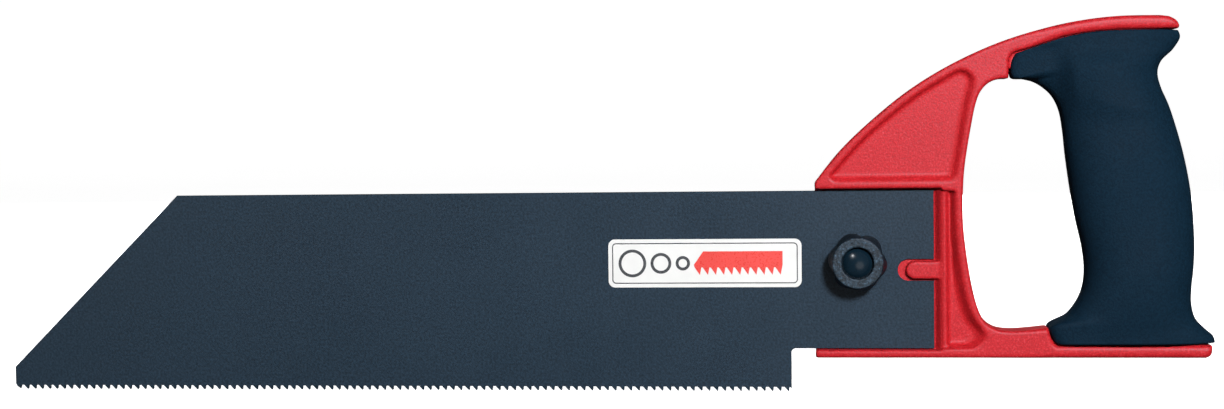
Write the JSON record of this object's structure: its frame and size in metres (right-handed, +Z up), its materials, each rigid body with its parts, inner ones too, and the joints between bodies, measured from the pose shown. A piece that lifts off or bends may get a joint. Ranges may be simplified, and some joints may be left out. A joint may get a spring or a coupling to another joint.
{
  "type": "plastic pipe hand saw",
  "caption": "Hand saw for plastic pipe: a wide steel blade held on a moulded D-handle by a lobed hand knob, with a soft grip.",
  "frame": {"origin": "middle of the hand grip, in the handle's middle plane", "axes": "+X along the saw, from the blade's tip towards the hand; +Y through its thickness, away from the knob; +Z up, away from the teeth"},
  "size_m": [0.4537, 0.0316, 0.1371],
  "materials": {
    "coated_steel": "satin non-stick coat on steel, bare at the tooth tips",
    "label_film": "satin printed film",
    "red_moulding": "moulded, lightly textured, semi-gloss",
    "soft_rubber": "matte thermoplastic elastomer",
    "zinc_steel": "zinc plated",
    "knob_plastic": "fine spark texture",
    "insert_brass": "turned",
    "cap_plastic": "polished"
  },
  "bodies": {
    "handle": {"handle_frame": "red_moulding", "soft_grip": "soft_rubber", "clamp_bolt": "zinc_steel"},
    "blade": {"blade": "coated_steel", "blade_label": "label_film"},
    "washer": {"pressure_washer": "zinc_steel"},
    "knob": {"knob_body": "knob_plastic", "knob_insert": "insert_brass", "knob_cap": "cap_plastic"}
  },
  "joints": [
    {"name": "clamp_travel", "type": "slide", "parent": "handle", "child": "washer", "axis": [0, -1, 0], "range_m": [0, 0.0089]},
    {"name": "knob_turn", "type": "hinge", "parent": "washer", "child": "knob", "pos_m": [-0.0984, -0.0046, -0.026], "axis": [0, -1, 0], "range_deg": [0, 3206]},
    {"name": "blade_lift", "type": "slide", "parent": "handle", "child": "blade", "axis": [0, -1, 0], "range_m": [0, 0.00803]}
  ],
  "couplings": [
    {"joint": "knob_turn", "follows": "clamp_travel", "rad_per_m": 6283.2},
    {"joint": "blade_lift", "follows": "clamp_travel", "ratio": 0.9}
  ]
}
